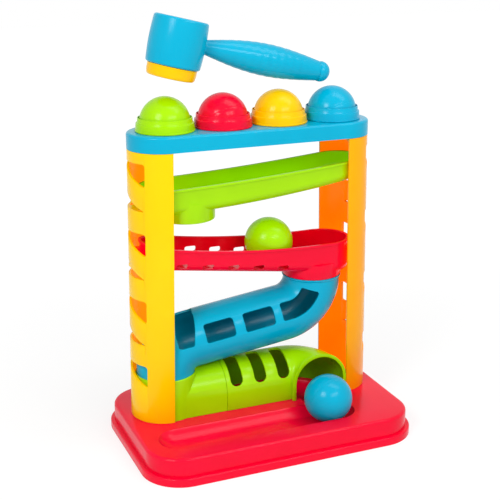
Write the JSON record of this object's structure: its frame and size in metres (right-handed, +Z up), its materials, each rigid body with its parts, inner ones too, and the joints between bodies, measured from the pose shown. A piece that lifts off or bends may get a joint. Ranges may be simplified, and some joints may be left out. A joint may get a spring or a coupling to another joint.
{
  "type": "ball pounding bench",
  "caption": "Toy tower with a hammer: balls are driven through soft collars and roll down two ramps, a windowed chute and a slotted tunnel into a tray.",
  "frame": {"origin": "on the floor, at the bottom centre of the base tray", "axes": "+Z up; X along the base's long side; the trough is at the front, towards -Y"},
  "size_m": [0.264, 0.168, 0.3902],
  "materials": {
    "red_plastic": "glossy moulded plastic",
    "green_plastic": "glossy moulded plastic",
    "blue_plastic": "glossy moulded plastic",
    "yellow_plastic": "glossy moulded plastic"
  },
  "bodies": {
    "bench": {"base_tray": "red_plastic", "left_tower": "yellow_plastic", "right_tower": "yellow_plastic", "top_deck": "blue_plastic", "collar_green": "green_plastic", "collar_red": "red_plastic", "collar_yellow": "yellow_plastic", "collar_blue": "blue_plastic", "upper_ramp": "green_plastic", "middle_ramp": "red_plastic", "chute_front": "blue_plastic", "chute_rear": "blue_plastic", "tunnel_inlet": "green_plastic", "tunnel_cover": "green_plastic"},
    "deck_ball_green": {"ball_green": "green_plastic"},
    "deck_ball_red": {"ball_red": "red_plastic"},
    "deck_ball_yellow": {"ball_yellow": "yellow_plastic"},
    "deck_ball_blue": {"ball_blue": "blue_plastic"},
    "ramp_ball": {"ramp_ball": "green_plastic"},
    "tray_ball": {"tray_ball": "blue_plastic"},
    "hammer": {"hammer_head": "blue_plastic", "hammer_cap": "yellow_plastic", "hammer_handle": "blue_plastic"}
  },
  "joints": [
    {"name": "green_ball_drop", "type": "slide", "parent": "bench", "child": "deck_ball_green", "axis": [0, 0, -1], "range_m": [0, 0.0537], "deforming": ["collar_green"]},
    {"name": "red_ball_drop", "type": "slide", "parent": "bench", "child": "deck_ball_red", "axis": [0, 0, -1], "range_m": [0, 0.0517], "deforming": ["collar_red"]},
    {"name": "yellow_ball_drop", "type": "slide", "parent": "bench", "child": "deck_ball_yellow", "axis": [0, 0, -1], "range_m": [0, 0.0468], "deforming": ["collar_yellow"]},
    {"name": "blue_ball_drop", "type": "slide", "parent": "bench", "child": "deck_ball_blue", "axis": [0, 0, -1], "range_m": [0, 0.0397], "deforming": ["collar_blue"]},
    {"name": "ramp_ball_roll", "type": "slide", "parent": "bench", "child": "ramp_ball", "axis": [0.9911, 0, -0.1329], "range_m": [-0.08, 0.044]},
    {"name": "tray_ball_roll", "type": "slide", "parent": "bench", "child": "tray_ball", "axis": [-1, 0, 0], "range_m": [0, 0.146]},
    {"name": "hammer_lift", "type": "slide", "parent": "bench", "child": "hammer", "axis": [0, 0, 1], "range_m": [0, 0.06]}
  ]
}
